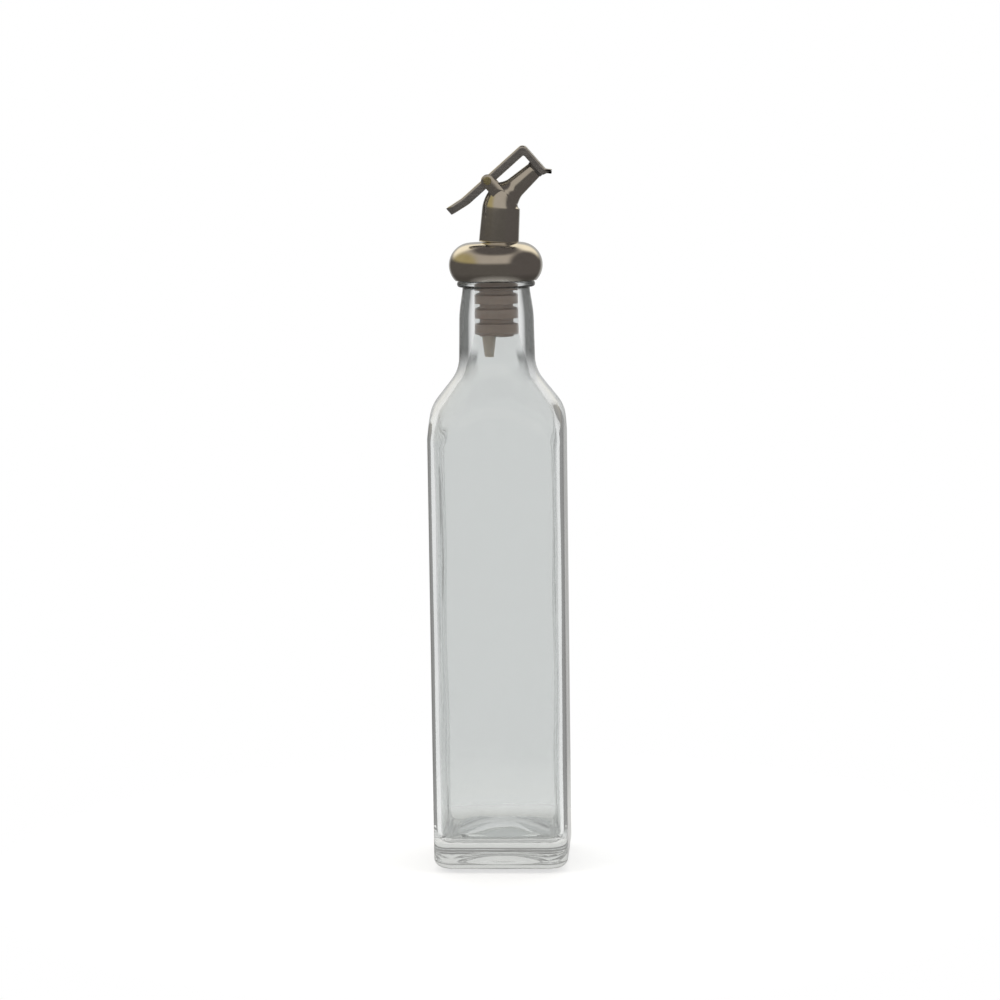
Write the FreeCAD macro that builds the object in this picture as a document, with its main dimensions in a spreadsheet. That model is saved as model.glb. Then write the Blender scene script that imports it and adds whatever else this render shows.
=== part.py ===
"""Square glass oil bottle with a chromed pourer and a lever flap, as a parametric FreeCAD document.

Millimetres, +Z up.  The origin is the middle of the ring that the bottle stands on, +X is the side
that the spout pours to, and the flat front panel faces -Y.
"""
import FreeCAD, Part
import Sketcher
import math
import os

Vector = FreeCAD.Vector
Rotation = FreeCAD.Rotation
Placement = FreeCAD.Placement

# Every driving size, by the name that the formulas below use.  A drop is measured down from the
# mouth of the glass, and a rise up from it, so the neck and the pourer follow the bottle's height.
SIZES = {
    # glass, outside
    "body_width": 57.5,
    "body_corner": 8.5,
    "heel_radius": 4.0,
    "ring_radius": 21.5,
    "ring_width": 3.5,
    "ring_height": 1.2,
    "push_up": 2.4,
    "push_up_bend": 9.9,
    "push_up_bend_height": 1.92,
    "shoulder_drop": 70.9,
    "shoulder_angle": 38.5,
    "shoulder_radius": 16.0,
    "arch_radius": 7.0,
    "waist_drop": 41.2,
    "waist_radius": 16.2,
    "flare_drop": 20.5,
    "flare_radius": 15.8,
    "flare_rounding": 30.0,
    "neck_drop": 10.6,
    "neck_radius": 14.3,
    "lip_radius": 16.6,
    "lip_drop": 9.5,
    "lip_thickness": 2.6,
    "lip_rounding": 1.1,
    "mouth_radius": 13.5,
    "glass_height": 257.5,
    # glass, inside
    "wall": 3.0,
    "inner_corner": 5.5,
    "floor_height": 12.0,
    "floor_dome": 5.0,
    "floor_bend": 10.2,
    "floor_bend_height": 3.75,
    "inner_heel": 5.3,
    "bore_radius": 9.4,
    "bore_length": 27.5,
    "inner_waist_radius": 12.6,
    # stopper in the neck
    "stopper_flange_radius": 13.3,
    "stopper_flange": 1.5,
    "stopper_radius": 7.2,
    "stopper_length": 29.5,
    "rib_clearance": 0.05,
    "rib_thickness": 4.4,
    "rib_slope": 0.5,
    "rib_pitch": 5.9,
    "lowest_rib": 2.65,
    "pour_hole_radius": 3.1,
    "pour_hole_offset": 3.4,
    # air tube through the stopper
    "air_offset": 3.3,
    "air_radius": 3.0,
    "air_tip_radius": 1.9,
    "air_bore_radius": 1.0,
    "air_overhang": 8.5,
    "air_clearance": 0.05,
    # collar over the mouth
    "collar_radius": 19.9,
    "collar_bead": 9.5,
    "collar_drop": 0.2,
    "collar_rise": 8.6,
    "collar_low_drop": 6.8,
    "collar_clearance": 0.3,
    # spout
    "foot_offset": 1.3,
    "foot_radius": 8.7,
    "foot_length": 7.7,
    "foot_clearance": 0.05,
    "spout_start_offset": 1.45,
    "spout_start_radius": 8.5,
    "spout_lean": 85.5,
    "spout_bend_radius": 8.6,
    "spout_bend_start_radius": 8.0,
    "spout_bend_end_radius": 6.4,
    "tube_radius": 4.6,
    "tube_knee": 2.8,
    "tube_angle": 41.0,
    "spout_mouth_radius": 3.6,
    "spout_mouth_offset": 16.8,
    "spout_rise": 30.3,
    "spout_wall": 0.9,
    # hinge, from the middle of the spout's mouth: back along the tube, and up square to it
    "pin_back": 17.5,
    "pin_radius": 1.0,
    "pin_headroom": 0.1,
    "pin_clearance": 0.06,
    "pin_head_radius": 1.7,
    "pin_head": 0.5,
    "lug_radius": 2.7,
    "lug_thickness": 1.0,
    "lug_clearance": 0.25,
    "lug_root_up": 1.0,
    "lug_rounding": 2.646,
    # lever flap, a pressed channel, and its pad
    "flap_wall": 0.8,
    "flap_depth": 3.7,
    "flap_above_tube": 6.9,
    "flap_front": 4.0,
    "flap_front_depth": 3.0,
    "flap_drop": 3.9,
    "flap_lip": 1.2,
    "flap_tail": 38.6,
    "flap_tail_bend": 8.0,
    "flap_tail_lift": 1.2,
    "flap_tail_radius": 12.0,
    "flap_tail_depth": 3.5,
    "flap_bend_radius": 2.2,
    "thumb_rest_rounding": 2.88,
    "trough_start": 4.8,
    "pad_overlap": 0.2,
    "pad_side_gap": 0.2,
    "pad_gap": 0.1,
}

# Sizes and heights above the table that follow from those, by name.
FOLLOWING = {
    "shoulder_height": "glass_height - shoulder_drop",
    "waist_height": "glass_height - waist_drop",
    "flare_height": "glass_height - flare_drop",
    "neck_height": "glass_height - neck_drop",
    "lip_bottom": "glass_height - lip_drop",
    "lip_top": "lip_bottom + lip_thickness",
    "bore_bottom": "glass_height - bore_length",
    "ring_inside": "ring_radius - ring_width",
    "floor_reach": "body_width / 2 - wall - inner_heel",
    "stopper_bottom": "glass_height - stopper_length",
    "flange_top": "glass_height + stopper_flange",
    "air_bottom": "stopper_bottom - air_overhang",
    "collar_middle": "glass_height - collar_drop",
    "collar_top": "glass_height + collar_rise",
    "collar_bottom": "glass_height - collar_low_drop",
    "collar_ring": "collar_radius - collar_bead",
    "collar_bore": "mouth_radius + collar_clearance",
    "foot_top": "flange_top + foot_length",
    "spout_mouth_height": "foot_top + spout_rise",
    "pad_radius": "spout_mouth_radius + pad_overlap",
    "flap_width": "2 * (pad_radius + pad_side_gap + flap_wall)",
    "flap_up": "tube_radius + flap_above_tube",
    "pin_up": "flap_up - flap_wall - pin_radius - pin_headroom",
    "lug_inside": "flap_width / 2 + lug_clearance",
}

# how many straight stretches make the spout's bend
SPOUT_BEND_STEPS = 6
# how far a cut runs past what it cuts, and how far outside the glass a shoulder line begins
CUT_PAST = 1
SHOULDER_OUTSIDE = 6

document = FreeCAD.newDocument("oil_bottle")
sheet = document.addObject("Spreadsheet::Sheet", "Sizes")
for row, (size_name, size_value) in enumerate(SIZES.items(), start=1):
    sheet.set(f"A{row}", size_name)
    sheet.set(f"B{row}", str(size_value))
    sheet.setAlias(f"B{row}", size_name)
document.recompute()


def formula(text):
    """Turn plain size names into references to the sheet's cells, and following sizes into formulas."""
    words = []
    word = ""
    for letter in text + " ":
        if letter.isalnum() or letter == "_":
            word += letter
            continue
        if word in FOLLOWING:
            word = f"({formula(FOLLOWING[word])})"
        elif word in SIZES:
            word = "Sizes." + word
        words += [word, letter]
        word = ""
    return "".join(words).strip()


def value(text):
    """The number that a formula gives."""
    return float(sheet.evalExpression(formula(text)))


# Where the shoulder's sloping line meets the neck's, each worked out from the sizes above.
CORNER_REACH = "((body_width / 2 - body_corner) * sqrt(2) + body_corner)"
SHOULDER_TAN = "tan(shoulder_angle)"
# the sloping shoulder, carried up to meet the line of the neck
CONE_AT_WAIST = f"({CORNER_REACH} - (waist_height - shoulder_height) * {SHOULDER_TAN})"
NECK_TAPER = "((waist_radius - flare_radius) / (flare_height - waist_height))"
SHOULDER_DROP = f"((waist_radius - {CONE_AT_WAIST}) / ({SHOULDER_TAN} - {NECK_TAPER}))"
CORNER_HEIGHT = f"(waist_height - {SHOULDER_DROP})"
CORNER_RADIUS = f"(waist_radius + {SHOULDER_DROP} * {NECK_TAPER})"
# the same lines inside, one wall further in
INNER_SLANT = "(wall / cos(shoulder_angle))"
INNER_CONE_AT_WAIST = f"({CONE_AT_WAIST} - {INNER_SLANT})"
INNER_TAPER = "((inner_waist_radius - bore_radius) / (bore_bottom - waist_height))"
INNER_DROP = f"((inner_waist_radius - {INNER_CONE_AT_WAIST}) / ({SHOULDER_TAN} - {INNER_TAPER}))"
INNER_CORNER_HEIGHT = f"(waist_height - {INNER_DROP})"
INNER_CORNER_RADIUS = f"(inner_waist_radius + {INNER_DROP} * {INNER_TAPER})"


def plane_of(body, role):
    """One of the body's own origin planes."""
    for feature in body.Origin.OriginFeatures:
        if feature.Role == role:
            return feature
    raise ValueError(role)


def new_body(name):
    """A PartDesign body whose label names its file."""
    body = document.addObject("PartDesign::Body", name)
    body.Label = name
    return body


def new_sketch(body, name, role, shift=("0", "0", "0"), turn="0", turn_axis=Vector(0, 0, 1)):
    """A sketch on an origin plane, moved by shift and turned by turn degrees about turn_axis."""
    sketch = body.newObject("Sketcher::SketchObject", name)
    sketch.AttachmentSupport = [(plane_of(body, role), "")]
    sketch.MapMode = "FlatFace"
    for axis, text in zip("xyz", shift):
        sketch.setExpression(f"AttachmentOffset.Base.{axis}", formula(text))
    if turn != "0":
        # the formula sets the angle alone, so the axis is given first with an angle that isn't zero
        sketch.AttachmentOffset = Placement(Vector(), Rotation(turn_axis, 1))
        sketch.setExpression("AttachmentOffset.Rotation.Angle", formula(turn))
    return sketch


def dimension(sketch, kind, references, text):
    """Add one dimension to a sketch and bind it to its formula."""
    index = sketch.addConstraint(Sketcher.Constraint(kind, *references, value(text)))
    label = f"size_{index}"
    sketch.renameConstraint(index, label)
    sketch.setExpression(f"Constraints.{label}", formula(text))


def place_point(sketch, geometry, end, x_text, y_text):
    """Fix a point of the sketch by its two distances from the sketch's origin."""
    dimension(sketch, "DistanceX", (-1, 1, geometry, end), x_text)
    dimension(sketch, "DistanceY", (-1, 1, geometry, end), y_text)


def arc_between(middle, radius, first, last):
    """The shorter arc between two points, drawn anticlockwise, and which of its ends is at first."""
    ring = Part.Circle(middle, Vector(0, 0, 1), radius)
    first_angle = math.atan2(first.y - middle.y, first.x - middle.x)
    last_angle = math.atan2(last.y - middle.y, last.x - middle.x)
    sweep = (last_angle - first_angle) % (2 * math.pi)
    if sweep < math.pi:
        return Part.ArcOfCircle(ring, first_angle, first_angle + sweep), 1
    return Part.ArcOfCircle(ring, last_angle, last_angle + 2 * math.pi - sweep), 2


def rounding(before, corner, after, radius):
    """Where an arc of this radius starts and ends at a corner between two lines, and its middle."""
    to_before = (before - corner).normalize()
    to_after = (after - corner).normalize()
    half_angle = to_before.getAngle(to_after) / 2
    reach = radius / math.tan(half_angle)
    middle = corner + (to_before + to_after).normalize() * (radius / math.sin(half_angle))
    return corner + to_before * reach, corner + to_after * reach, middle


def outline(sketch, corners):
    """Draw a closed outline through corners (x, y) or (x, y, rounding), each bound to its formulas."""
    points = [Vector(value(corner[0]), value(corner[1]), 0) for corner in corners]
    bends = []
    for index, corner in enumerate(corners):
        if len(corner) == 3:
            after = points[(index + 1) % len(points)]
            bends.append(rounding(points[index - 1], points[index], after, value(corner[2])))
        else:
            bends.append((points[index], points[index], None))
    lines = []
    for index, bend in enumerate(bends):
        following = bends[(index + 1) % len(bends)]
        lines.append(sketch.addGeometry(Part.LineSegment(bend[1], following[0])))
    for index, corner in enumerate(corners):
        arriving = lines[index - 1]
        leaving = lines[index]
        if len(corner) == 2:
            sketch.addConstraint(Sketcher.Constraint("Coincident", arriving, 2, leaving, 1))
            place_point(sketch, leaving, 1, corner[0], corner[1])
            continue
        mark = sketch.addGeometry(Part.Point(points[index]), True)
        place_point(sketch, mark, 1, corner[0], corner[1])
        sketch.addConstraint(Sketcher.Constraint("PointOnObject", mark, 1, arriving))
        sketch.addConstraint(Sketcher.Constraint("PointOnObject", mark, 1, leaving))
        start, end, middle = bends[index]
        shape, first = arc_between(middle, value(corner[2]), start, end)
        arc = sketch.addGeometry(shape)
        sketch.addConstraint(Sketcher.Constraint("Tangent", arriving, 2, arc, first))
        sketch.addConstraint(Sketcher.Constraint("Tangent", arc, 3 - first, leaving, 1))
        dimension(sketch, "Radius", (arc,), corner[2])


def circle(sketch, x_text, y_text, radius_text):
    """Draw a circle whose middle and radius are bound to formulas."""
    middle = Vector(value(x_text), value(y_text), 0)
    ring = sketch.addGeometry(Part.Circle(middle, Vector(0, 0, 1), value(radius_text)))
    place_point(sketch, ring, 3, x_text, y_text)
    dimension(sketch, "Radius", (ring,), radius_text)


def extrude(body, kind, sketch, length, both_ways=False, reverse=False):
    """Pad or Pocket a sketch by a length, or to both sides of it."""
    feature = body.newObject("PartDesign::" + kind, sketch.Name + "_" + kind)
    feature.Profile = sketch
    feature.setExpression("Length", formula(length))
    feature.Midplane = both_ways
    feature.Reversed = reverse
    sketch.Visibility = False
    document.recompute()
    return feature


def turn(body, kind, name, corners):
    """Revolution or Groove of an outline given as (radius, height) corners about the Z axis."""
    sketch = new_sketch(body, name, "XZ_Plane")
    outline(sketch, corners)
    feature = body.newObject("PartDesign::" + kind, name + "_" + kind)
    feature.Profile = sketch
    feature.ReferenceAxis = (sketch, ["V_Axis"])
    feature.Angle = 360
    document.recompute()
    return feature


def drill(body, name, x_text, radius, start, depth):
    """An upright round hole at x, from the height start downwards, tested to have cut something."""
    before = body.Shape.Volume
    sketch = new_sketch(body, name, "XY_Plane", ("0", "0", start))
    circle(sketch, x_text, "0", radius)
    extrude(body, "Pocket", sketch, depth)
    if body.Shape.Volume > before - 1e-3:
        raise RuntimeError(name + " cut nothing")


def smooth_edges(body, name, radius, chosen):
    """Fillet the edges of the body's last shape for which chosen(edge) is true."""
    names = [f"Edge{number}" for number, edge in enumerate(body.Shape.Edges, start=1) if chosen(edge)]
    if not names:
        raise RuntimeError(name + " found no edge")
    base = body.Tip
    fillet = body.newObject("PartDesign::Fillet", name)
    fillet.Base = (base, names)
    fillet.setExpression("Radius", formula(radius))
    document.recompute()


def square_to_round(name, half_width, corner, bottom, top, outside_line):
    """A square prism with rounded corners, turned down to a round neck above its shoulder.

    outside_line lists (radius, height) corners of the turned outline, from the shoulder up.
    """
    body = new_body(name)
    sketch = new_sketch(body, name + "_plan", "XY_Plane", ("0", "0", bottom))
    signs = ((1, 1), (-1, 1), (-1, -1), (1, -1))
    outline(sketch, [(f"{x} * ({half_width})", f"{y} * ({half_width})", corner) for x, y in signs])
    extrude(body, "Pad", sketch, f"{top} - {bottom}")
    above = f"({top} + {CUT_PAST})"
    turn(body, "Groove", name + "_shoulder",
         outside_line + [(outside_line[-1][0], above), ("body_width", above)])
    return body


def in_shoulder(edge):
    """True for the arched edges where the flat panels and their corners meet the round shoulder."""
    box = edge.BoundBox
    low = value("shoulder_height") - 1
    high = value("waist_height")
    off_axis = abs(box.Center.x) + abs(box.Center.y) > 1
    return off_axis and box.ZMin > low and box.ZMax < high


def at_height(height):
    """A test for the level edges at one height."""
    level = value(height)

    def chosen(edge):
        box = edge.BoundBox
        return abs(box.ZMin - level) < 1e-4 and abs(box.ZMax - level) < 1e-4

    return chosen


def shoulder_start(reach):
    """The two corners, well outside the prism, where a shoulder line begins, as (radius, height)."""
    height = f"shoulder_height - {SHOULDER_OUTSIDE} / {SHOULDER_TAN}"
    return [("body_width", height), (f"{reach} + {SHOULDER_OUTSIDE}", height)]


def make_glass():
    """The bottle: the outside shape with the hollow, made the same way, cut out of it."""
    outside_line = shoulder_start(CORNER_REACH) + [
        (CORNER_RADIUS, CORNER_HEIGHT, "shoulder_radius"),
        ("flare_radius", "flare_height", "flare_rounding"),
        ("neck_radius", "neck_height"),
        ("neck_radius", "lip_bottom"),
        ("lip_radius", "lip_bottom", "lip_rounding"),
        ("lip_radius", "lip_top", "lip_rounding"),
        ("mouth_radius", "lip_top"),
    ]
    outside = square_to_round(
        "outside", "body_width / 2", "body_corner", "ring_height", "glass_height", outside_line)
    smooth_edges(outside, "arches", "arch_radius", in_shoulder)
    smooth_edges(outside, "heel", "heel_radius", at_height("ring_height"))
    turn(outside, "Revolution", "standing_ring", [
        ("ring_inside", "0"),
        ("ring_radius", "0"),
        ("ring_radius + ring_height", "ring_height"),
        ("ring_radius + ring_height", "ring_height + push_up"),
        ("ring_inside", "ring_height + push_up"),
    ])
    turn(outside, "Groove", "push_up_hollow", [
        ("0", f"-{CUT_PAST}"),
        ("ring_inside", f"-{CUT_PAST}"),
        ("ring_inside", "0"),
        ("push_up_bend", "push_up_bend_height"),
        ("0", "push_up"),
    ])
    inside_line = shoulder_start(f"({CORNER_REACH} - {INNER_SLANT})") + [
        (INNER_CORNER_RADIUS, INNER_CORNER_HEIGHT, "shoulder_radius"),
        ("bore_radius", "bore_bottom", "shoulder_radius"),
    ]
    hollow = square_to_round(
        "hollow", "body_width / 2 - wall", "inner_corner", "floor_height", f"(glass_height + {CUT_PAST})",
        inside_line)
    smooth_edges(hollow, "inner_heel_bend", "inner_heel", at_height("floor_height"))
    turn(hollow, "Groove", "floor_dome_hollow", [
        ("0", f"floor_height - {CUT_PAST}"),
        ("floor_reach", f"floor_height - {CUT_PAST}"),
        ("floor_reach", "floor_height"),
        ("floor_bend", "floor_height + floor_bend_height"),
        ("0", "floor_height + floor_dome"),
    ])
    glass = document.addObject("Part::Cut", "glass_bottle")
    glass.Label = "glass_bottle"
    glass.Base = outside
    glass.Tool = hollow
    return glass


def make_stopper():
    """Plastic stopper: a flange on the mouth, a core down the bore and broad ribs that grip the glass."""
    body = new_body("ribbed_stopper")
    rib_radius = "(bore_radius - rib_clearance)"
    profile = [
        ("0", "stopper_bottom"),
        ("stopper_radius", "stopper_bottom", "rib_slope / 2"),
    ]
    ribs = int(value("(stopper_length - lowest_rib) / rib_pitch"))
    for number in range(ribs):
        middle = f"(stopper_bottom + lowest_rib + {number} * rib_pitch)"
        profile += [
            ("stopper_radius", f"{middle} - rib_thickness / 2"),
            (rib_radius, f"{middle} - rib_thickness / 2 + rib_slope"),
            (rib_radius, f"{middle} + rib_thickness / 2 - rib_slope"),
            ("stopper_radius", f"{middle} + rib_thickness / 2"),
        ]
    profile += [
        ("stopper_radius", "glass_height"),
        ("stopper_flange_radius", "glass_height"),
        ("stopper_flange_radius", "flange_top"),
        ("0", "flange_top"),
    ]
    turn(body, "Revolution", "stopper_profile", profile)
    depth = f"flange_top - stopper_bottom + {CUT_PAST}"
    drill(body, "pour_hole", "pour_hole_offset", "pour_hole_radius", "flange_top", depth)
    drill(body, "air_hole", "-air_offset", "air_radius + air_clearance", "flange_top", depth)
    return body


def make_air_tube():
    """Air tube: straight through the stopper, tapering below it, with a fine bore."""
    body = new_body("air_tube")
    turn(body, "Revolution", "air_tube_profile", [
        ("air_bore_radius", "air_bottom"),
        ("air_tip_radius", "air_bottom"),
        ("air_radius", "stopper_bottom"),
        ("air_radius", "flange_top"),
        ("air_bore_radius", "flange_top"),
    ])
    body.setExpression("Placement.Base.x", formula("-air_offset"))
    return body


def make_collar():
    """Collar: a fat polished bead round the mouth, cut flat below, bored for the neck and the spout."""
    body = new_body("collar")
    top_inner = "(collar_ring - sqrt(collar_bead ^ 2 - (collar_top - collar_middle) ^ 2))"
    bottom_outer = "(collar_ring + sqrt(collar_bead ^ 2 - (collar_middle - collar_bottom) ^ 2))"
    sketch = new_sketch(body, "collar_profile", "XZ_Plane")
    # straight stretches in under the bead, up the bore, in under the top, and out along the top
    path = [
        (bottom_outer, "collar_bottom"),
        ("collar_bore", "collar_bottom"),
        ("collar_bore", "flange_top"),
        ("0", "flange_top"),
        ("0", "collar_top"),
        (top_inner, "collar_top"),
    ]
    points = [Vector(value(x), value(z), 0) for x, z in path]
    lines = [sketch.addGeometry(Part.LineSegment(*ends)) for ends in zip(points, points[1:])]
    for arriving, leaving, corner in zip(lines, lines[1:], path[1:]):
        sketch.addConstraint(Sketcher.Constraint("Coincident", arriving, 2, leaving, 1))
        place_point(sketch, leaving, 1, *corner)
    # the bead runs anticlockwise from the underside round the outside to the top
    middle = Vector(value("collar_ring"), value("collar_middle"), 0)
    angles = [math.atan2(point.y - middle.y, point.x - middle.x) for point in (points[0], points[-1])]
    ring = Part.Circle(middle, Vector(0, 0, 1), value("collar_bead"))
    bead = sketch.addGeometry(Part.ArcOfCircle(ring, *angles))
    sketch.addConstraint(Sketcher.Constraint("Coincident", bead, 1, lines[0], 1))
    sketch.addConstraint(Sketcher.Constraint("Coincident", bead, 2, lines[-1], 2))
    place_point(sketch, bead, 3, "collar_ring", "collar_middle")
    dimension(sketch, "Radius", (bead,), "collar_bead")
    dimension(sketch, "DistanceY", (-1, 1, lines[0], 1), "collar_bottom")
    dimension(sketch, "DistanceY", (-1, 1, lines[-1], 2), "collar_top")
    revolution = body.newObject("PartDesign::Revolution", "collar_bead_turned")
    revolution.Profile = sketch
    revolution.ReferenceAxis = (sketch, ["V_Axis"])
    revolution.Angle = 360
    document.recompute()
    drill(body, "spout_hole", "foot_offset", "foot_radius + foot_clearance",
          f"collar_top + {CUT_PAST}", "collar_bead")
    return body


def spout_stations():
    """Middle, lean and radius, as formulas, of each round section of the spout from foot to mouth.

    The middle line leans a little from upright, turns through one arc and runs straight to the mouth.
    """
    along = "(spout_mouth_offset - spout_start_offset)"
    rise = "(spout_mouth_height - foot_top)"
    # how far up the leaning line the two straight stretches would meet, and where the arc begins
    climb = (f"(({along} * sin(tube_angle) - {rise} * cos(tube_angle))"
             " / sin(tube_angle - spout_lean))")
    reach = "(spout_bend_radius * tan((spout_lean - tube_angle) / 2))"
    start = f"({climb} - {reach})"
    arc_x = f"(spout_start_offset + {start} * cos(spout_lean) + spout_bend_radius * sin(spout_lean))"
    arc_z = f"(foot_top + {start} * sin(spout_lean) - spout_bend_radius * cos(spout_lean))"
    stations = [("spout_start_offset", "foot_top", "90", "spout_start_radius")]
    for step in range(SPOUT_BEND_STEPS + 1):
        share = f"({step} / {SPOUT_BEND_STEPS})"
        lean = f"(spout_lean + (tube_angle - spout_lean) * {share})"
        stations.append((
            f"{arc_x} - spout_bend_radius * sin{lean}",
            f"{arc_z} + spout_bend_radius * cos{lean}",
            lean,
            f"spout_bend_start_radius + (spout_bend_end_radius - spout_bend_start_radius) * {share}",
        ))
    last_x, last_z = stations[-1][:2]
    stations.append((
        f"{last_x} + tube_knee * cos(tube_angle)", f"{last_z} + tube_knee * sin(tube_angle)",
        "tube_angle", "tube_radius"))
    stations.append(("spout_mouth_offset", "spout_mouth_height", "tube_angle", "spout_mouth_radius"))
    return stations


def loft_through(body, kind, name, stations, inset):
    """Loft straight from one round section to the next, each made smaller by inset."""
    sections = []
    for number, (x_text, z_text, lean, radius) in enumerate(stations):
        sketch = new_sketch(
            body, f"{name}_{number}", "XY_Plane", (x_text, "0", z_text), f"90 - {lean}", Vector(0, 1, 0))
        circle(sketch, "0", "0", f"{radius} - {inset}")
        sections.append(sketch)
    loft = body.newObject("PartDesign::" + kind, name)
    loft.Profile = sections[0]
    loft.Sections = sections[1:]
    loft.Ruled = True
    document.recompute()
    return loft


def make_spout():
    """Spout: a round foot, a hollow bent neck with its pouring tube, and two lugs for the hinge."""
    body = new_body("spout")
    foot_plan = new_sketch(body, "foot_plan", "XY_Plane", ("0", "0", "flange_top"))
    circle(foot_plan, "foot_offset", "0", "foot_radius")
    extrude(body, "Pad", foot_plan, "foot_top - flange_top")
    smooth_edges(body, "foot_edge", "spout_wall / 2", at_height("foot_top"))
    stations = spout_stations()
    loft_through(body, "AdditiveLoft", "neck", stations, "0")
    for side in (1, -1):
        place = ("spout_mouth_offset", "spout_mouth_height", f"{side} * lug_inside")
        lug = new_sketch(body, "lug_front" if side > 0 else "lug_back", "XZ_Plane", place, "tube_angle")
        outline(lug, [
            ("-pin_back - lug_radius", "lug_root_up"),
            ("-pin_back + lug_radius", "lug_root_up"),
            ("-pin_back + lug_radius", "pin_up + lug_radius", "lug_rounding"),
            ("-pin_back - lug_radius", "pin_up + lug_radius", "lug_rounding"),
        ])
        extrude(body, "Pad", lug, "lug_thickness", reverse=side < 0)
    before = body.Shape.Volume
    loft_through(body, "SubtractiveLoft", "channel", stations, "spout_wall")
    if body.Shape.Volume > before - 1:
        raise RuntimeError("the channel cut nothing")
    drill(body, "foot_hollow", "spout_start_offset", "spout_start_radius - 2 * spout_wall",
          "foot_top + spout_wall", f"foot_top + spout_wall - flange_top + {CUT_PAST}")
    mouth = ("spout_mouth_offset", "spout_mouth_height", "0")
    pin_hole = new_sketch(body, "pin_hole", "XZ_Plane", mouth, "tube_angle")
    circle(pin_hole, "-pin_back", "pin_up", "pin_radius")
    extrude(body, "Pocket", pin_hole, f"2 * (lug_inside + lug_thickness + {CUT_PAST})", both_ways=True)
    return body


def at_mouth(piece):
    """Set a piece that is drawn about the spout's mouth in its place: X along the tube, Z square to it."""
    piece.Placement = Placement(Vector(), Rotation(Vector(0, 1, 0), -1))
    piece.setExpression("Placement.Base.x", formula("spout_mouth_offset"))
    piece.setExpression("Placement.Base.z", formula("spout_mouth_height"))
    piece.setExpression("Placement.Rotation.Angle", formula("-tube_angle"))
    return piece


def make_pin():
    """Hinge pin: a plain shank through the lugs with a round head at each end."""
    body = new_body("hinge_pin")
    reach = "(lug_inside + lug_thickness)"
    plan = new_sketch(body, "pin_section", "XZ_Plane")
    circle(plan, "-pin_back", "pin_up", "pin_radius")
    extrude(body, "Pad", plan, f"2 * {reach}", both_ways=True)
    for side in (1, -1):
        place = ("0", "0", f"{side} * {reach}")
        head = new_sketch(body, "head_front" if side > 0 else "head_back", "XZ_Plane", place)
        circle(head, "-pin_back", "pin_up", "pin_head_radius")
        extrude(body, "Pad", head, "pin_head", reverse=side < 0)
    rims = value(f"{reach} + pin_head")
    smooth_edges(body, "head_rims", "pin_head / 2",
                 lambda edge: abs(abs(edge.BoundBox.Center.y) - rims) < 1e-4)
    return at_mouth(body)


def make_flap():
    """Lever flap: a pressed channel from the thumb rest over the hinge and down over the mouth."""
    body = new_body("pour_flap")
    side_view = new_sketch(body, "flap_side", "XZ_Plane")
    bend = "flap_tail_bend - flap_tail"
    outline(side_view, [
        ("-flap_tail", "flap_up + flap_tail_lift"),
        ("-flap_tail", "flap_up + flap_tail_lift - flap_tail_depth"),
        (bend, "flap_up - flap_depth", "flap_tail_radius"),
        ("flap_front - flap_front_depth", "flap_up - flap_depth", "flap_bend_radius / 2"),
        ("flap_front - flap_front_depth", "-flap_drop"),
        ("flap_front", "-flap_drop"),
        ("flap_front + flap_lip", "-flap_drop - flap_lip"),
        ("flap_front + flap_lip + flap_wall", "-flap_drop - flap_lip + flap_wall / 2"),
        ("flap_front", "-flap_drop + flap_lip", "flap_lip / 2"),
        ("flap_front", "flap_up", "flap_bend_radius"),
        (bend, "flap_up", "flap_tail_radius"),
    ])
    extrude(body, "Pad", side_view, "flap_width", both_ways=True)
    tail_end = value("-flap_tail")
    smooth_edges(body, "thumb_rest", "thumb_rest_rounding", lambda edge: (
        abs(edge.BoundBox.Center.x - tail_end) < 0.02 and edge.BoundBox.YLength < 1e-3))
    trough = new_sketch(body, "flap_trough", "XZ_Plane")
    below = f"-flap_drop - flap_lip - flap_wall - {CUT_PAST}"
    outline(trough, [
        ("-flap_tail + trough_start", below),
        ("-flap_tail + trough_start", "flap_up - flap_wall"),
        ("flap_front - flap_wall", "flap_up - flap_wall", "flap_bend_radius - flap_wall"),
        ("flap_front - flap_wall", below),
    ])
    before = body.Shape.Volume
    extrude(body, "Pocket", trough, "flap_width - 2 * flap_wall", both_ways=True)
    if body.Shape.Volume > before - 1:
        raise RuntimeError("the trough cut nothing")
    pin_hole = new_sketch(body, "flap_pin_hole", "XZ_Plane")
    circle(pin_hole, "-pin_back", "pin_up", "pin_radius + pin_clearance")
    extrude(body, "Pocket", pin_hole, f"flap_width + {CUT_PAST}", both_ways=True)
    return at_mouth(body)


def make_pad():
    """Soft pad inside the flap that closes the spout's mouth."""
    body = new_body("mouth_pad")
    sketch = new_sketch(body, "pad_section", "YZ_Plane", ("0", "0", "pad_gap"))
    circle(sketch, "0", "0", "pad_radius")
    extrude(body, "Pad", sketch, "flap_front - flap_wall - pad_gap")
    return at_mouth(body)


pieces = [
    make_glass(),
    make_stopper(),
    make_air_tube(),
    make_collar(),
    make_spout(),
    make_pin(),
    make_flap(),
    make_pad(),
]
document.recompute()
for item in document.Objects:
    if "Invalid" in item.State or "Error" in item.State:
        raise RuntimeError(f"{item.Label} did not compute: {item.State}")
for piece in pieces:
    if piece.Shape.isNull() or not piece.Shape.isValid():
        raise RuntimeError(f"{piece.Label} has no valid shape")
os.makedirs("parts", exist_ok=True)
for piece in pieces:
    piece.Shape.exportStep(f"parts/{piece.Label}.step")
    box = piece.Shape.BoundBox
    print(f"{piece.Label}: {len(piece.Shape.Solids)} solid, {piece.Shape.Volume / 1000:.2f} cm3, "
          f"x {box.XMin:.1f} to {box.XMax:.1f}, y {box.YMin:.1f} to {box.YMax:.1f}, "
          f"z {box.ZMin:.1f} to {box.ZMax:.1f}")
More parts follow.
